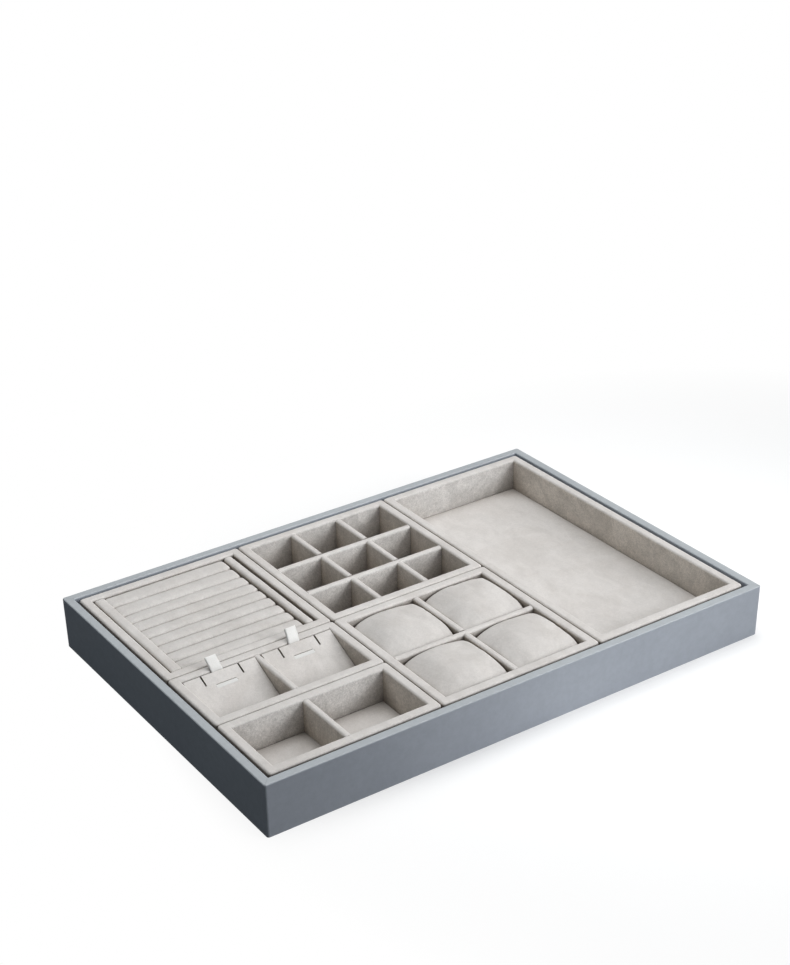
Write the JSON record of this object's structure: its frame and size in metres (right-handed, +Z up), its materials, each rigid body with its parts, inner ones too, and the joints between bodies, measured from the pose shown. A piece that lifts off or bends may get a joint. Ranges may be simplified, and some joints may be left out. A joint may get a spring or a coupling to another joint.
{
  "type": "jewelry display tray",
  "caption": "Shallow leather-covered tray with lift-out suede inserts: ring rolls, pendant ramps, compartments, a cell grid, pillows and an open bay.",
  "frame": {"origin": "centre of the tray's footprint, on the surface it stands on", "axes": "+X along the long side towards the large open insert, +Y from the front long side to the back long side, +Z up"},
  "size_m": [0.54, 0.368, 0.0633],
  "materials": {
    "tray_leather": "smooth fine-grained blue-grey leatherette, satin",
    "suede": "matte greige microsuede",
    "ribbon": "white satin ribbon",
    "lining": "thin dark grey lining cloth",
    "bottom_cover": "thin grey felt under the base",
    "fibreboard": "raw fibreboard, covered",
    "foam": "soft dark grey foam, covered"
  },
  "bodies": {
    "tray": {"tray_base_board": "fibreboard", "tray_bottom_cover": "bottom_cover", "tray_leather": "tray_leather", "tray_lining": "lining", "tray_wall_boards": "fibreboard"},
    "ring_insert": {"ring_bar_left": "suede", "ring_bar_right": "suede", "ring_insert_base_board": "fibreboard", "ring_insert_floor_pad": "suede", "ring_insert_suede_wrap": "suede", "ring_insert_wall_boards": "fibreboard", "ring_roll_1": "suede", "ring_roll_2": "suede", "ring_roll_3": "suede", "ring_roll_4": "suede", "ring_roll_5": "suede", "ring_roll_6": "suede", "ring_roll_7": "suede", "ring_roll_8": "suede", "ring_roll_9": "suede"},
    "pendant_insert": {"pendant_divider": "suede", "pendant_insert_base_board": "fibreboard", "pendant_insert_floor_pad": "suede", "pendant_insert_suede_wrap": "suede", "pendant_insert_wall_boards": "fibreboard"},
    "two_bay_insert": {"two_bay_divider": "suede", "two_bay_insert_base_board": "fibreboard", "two_bay_insert_floor_pad": "suede", "two_bay_insert_suede_wrap": "suede", "two_bay_insert_wall_boards": "fibreboard"},
    "grid_insert": {"grid_cross_divider_1": "suede", "grid_cross_divider_2": "suede", "grid_insert_base_board": "fibreboard", "grid_insert_floor_pad": "suede", "grid_insert_suede_wrap": "suede", "grid_insert_wall_boards": "fibreboard", "grid_long_divider_1": "suede", "grid_long_divider_2": "suede"},
    "pillow_insert": {"pillow_cross_divider": "suede", "pillow_insert_base_board": "fibreboard", "pillow_insert_floor_pad": "suede", "pillow_insert_suede_wrap": "suede", "pillow_insert_wall_boards": "fibreboard", "pillow_long_divider": "suede"},
    "open_insert": {"open_insert_base_board": "fibreboard", "open_insert_floor_pad": "suede", "open_insert_suede_wrap": "suede", "open_insert_wall_boards": "fibreboard"},
    "pillow_1": {"pillow_1": "suede"},
    "pillow_2": {"pillow_2": "suede"},
    "pillow_3": {"pillow_3": "suede"},
    "pillow_4": {"pillow_4": "suede"},
    "pendant_ramp_1": {"pendant_card_1": "suede", "pendant_wedge_1": "foam", "pendant_ribbon_1": "ribbon", "pendant_slot_pad_1": "ribbon"},
    "pendant_ramp_2": {"pendant_card_2": "suede", "pendant_wedge_2": "foam", "pendant_ribbon_2": "ribbon", "pendant_slot_pad_2": "ribbon"}
  },
  "joints": [
    {"name": "ring_insert_lift", "type": "slide", "parent": "tray", "child": "ring_insert", "axis": [0, 0, 1], "range_m": [0, 0.06]},
    {"name": "pendant_insert_lift", "type": "slide", "parent": "tray", "child": "pendant_insert", "axis": [0, 0, 1], "range_m": [0, 0.06]},
    {"name": "two_bay_insert_lift", "type": "slide", "parent": "tray", "child": "two_bay_insert", "axis": [0, 0, 1], "range_m": [0, 0.06]},
    {"name": "grid_insert_lift", "type": "slide", "parent": "tray", "child": "grid_insert", "axis": [0, 0, 1], "range_m": [0, 0.06]},
    {"name": "pillow_insert_lift", "type": "slide", "parent": "tray", "child": "pillow_insert", "axis": [0, 0, 1], "range_m": [0, 0.06]},
    {"name": "open_insert_lift", "type": "slide", "parent": "tray", "child": "open_insert", "axis": [0, 0, 1], "range_m": [0, 0.06]},
    {"name": "pillow_1_lift", "type": "slide", "parent": "pillow_insert", "child": "pillow_1", "axis": [0, 0, 1], "range_m": [0, 0.04]},
    {"name": "pillow_2_lift", "type": "slide", "parent": "pillow_insert", "child": "pillow_2", "axis": [0, 0, 1], "range_m": [0, 0.04]},
    {"name": "pillow_3_lift", "type": "slide", "parent": "pillow_insert", "child": "pillow_3", "axis": [0, 0, 1], "range_m": [0, 0.04]},
    {"name": "pillow_4_lift", "type": "slide", "parent": "pillow_insert", "child": "pillow_4", "axis": [0, 0, 1], "range_m": [0, 0.04]},
    {"name": "pendant_ramp_1_lift", "type": "slide", "parent": "pendant_insert", "child": "pendant_ramp_1", "axis": [0, 0, 1], "range_m": [0, 0.04]},
    {"name": "pendant_ramp_2_lift", "type": "slide", "parent": "pendant_insert", "child": "pendant_ramp_2", "axis": [0, 0, 1], "range_m": [0, 0.04]}
  ]
}
